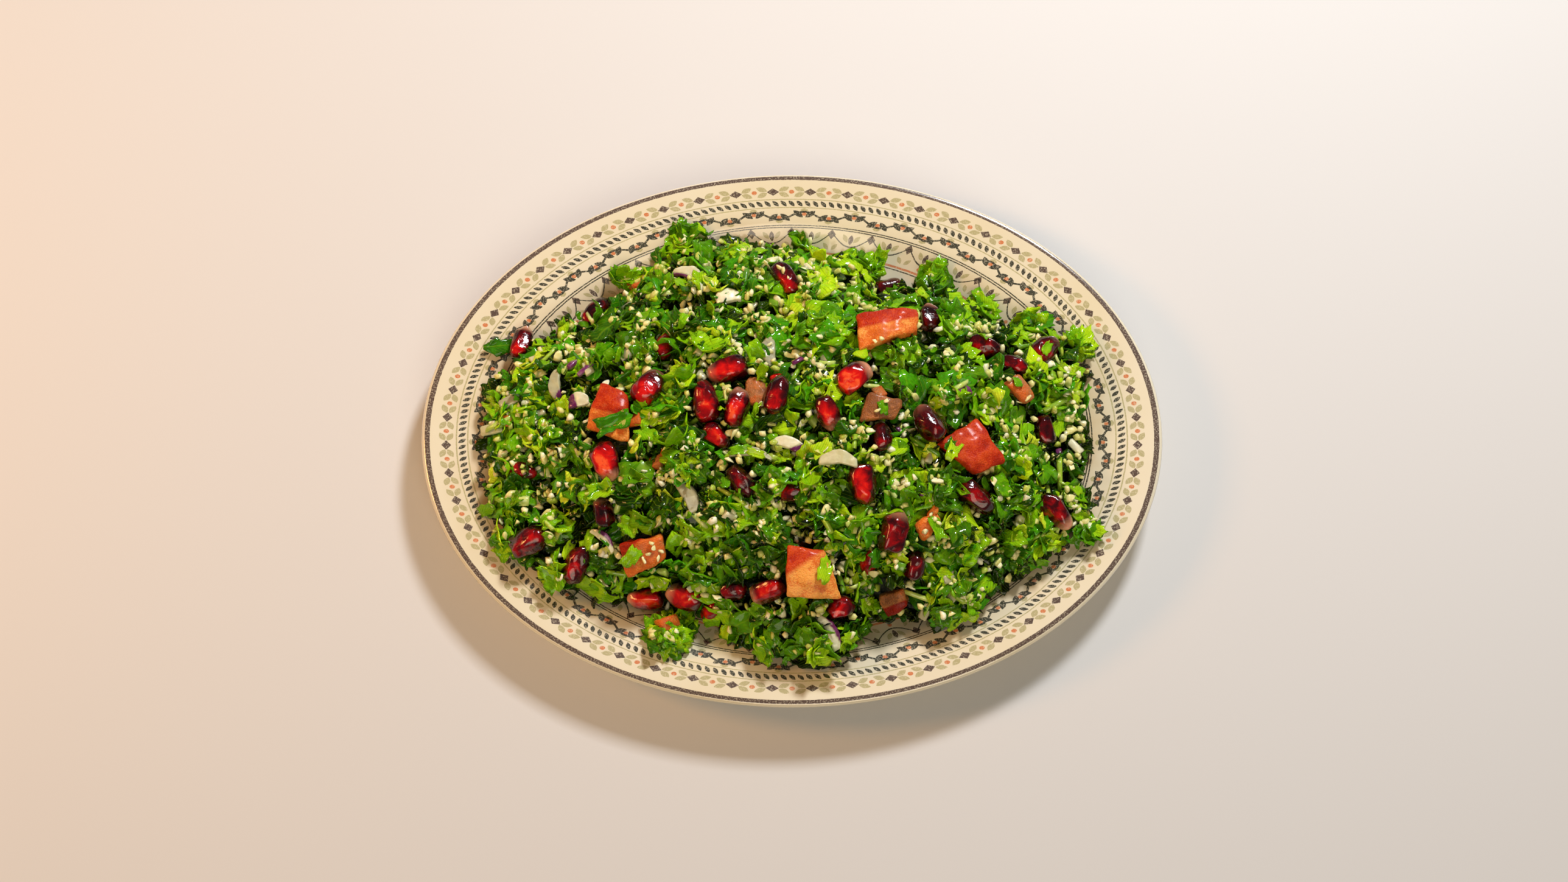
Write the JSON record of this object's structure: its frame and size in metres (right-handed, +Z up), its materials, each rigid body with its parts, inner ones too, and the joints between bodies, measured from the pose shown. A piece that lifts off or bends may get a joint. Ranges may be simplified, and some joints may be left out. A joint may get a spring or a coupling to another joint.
{
  "type": "tabbouleh salad on a platter",
  "caption": "Chopped parsley and bulgur salad with pomegranate seeds, tomato and red onion, heaped unevenly on a shallow oval platter with a printed rim.",
  "frame": {"origin": "under the middle of the platter, on the plane its foot stands on", "axes": "+X along the platter's long side, -Y towards the eater, +Z up"},
  "size_m": [0.23, 0.172, 0.0452],
  "materials": {
    "glaze": "gloss",
    "herb": "gloss",
    "seed": "gloss",
    "tomato": "gloss",
    "onion": "gloss"
  },
  "bodies": {
    "root": {"platter": "glaze", "salad_heap": "herb", "salad_clump": "herb", "tomato_01": "tomato", "tomato_02": "tomato", "tomato_03": "tomato", "tomato_04": "tomato", "tomato_05": "tomato", "tomato_06": "tomato", "tomato_07": "tomato", "tomato_08": "tomato", "tomato_09": "tomato", "tomato_10": "tomato", "seed_01": "seed", "seed_02": "seed", "seed_03": "seed", "seed_04": "seed", "seed_05": "seed", "seed_06": "seed", "seed_07": "seed", "seed_08": "seed", "seed_09": "seed", "seed_10": "seed", "seed_11": "seed", "seed_12": "seed", "seed_13": "seed", "seed_14": "seed", "seed_15": "seed", "seed_16": "seed", "seed_17": "seed", "seed_18": "seed", "seed_19": "seed", "seed_20": "seed", "seed_21": "seed", "seed_22": "seed", "seed_23": "seed", "seed_24": "seed", "seed_25": "seed", "seed_26": "seed", "seed_27": "seed", "seed_28": "seed", "seed_29": "seed", "seed_30": "seed", "seed_31": "seed", "seed_32": "seed", "seed_33": "seed", "seed_34": "seed", "onion_01": "onion", "onion_02": "onion", "onion_03": "onion", "onion_04": "onion", "onion_05": "onion", "onion_06": "onion", "onion_07": "onion", "onion_08": "onion", "onion_09": "onion", "onion_10": "onion", "onion_11": "onion"}
  },
  "joints": []
}
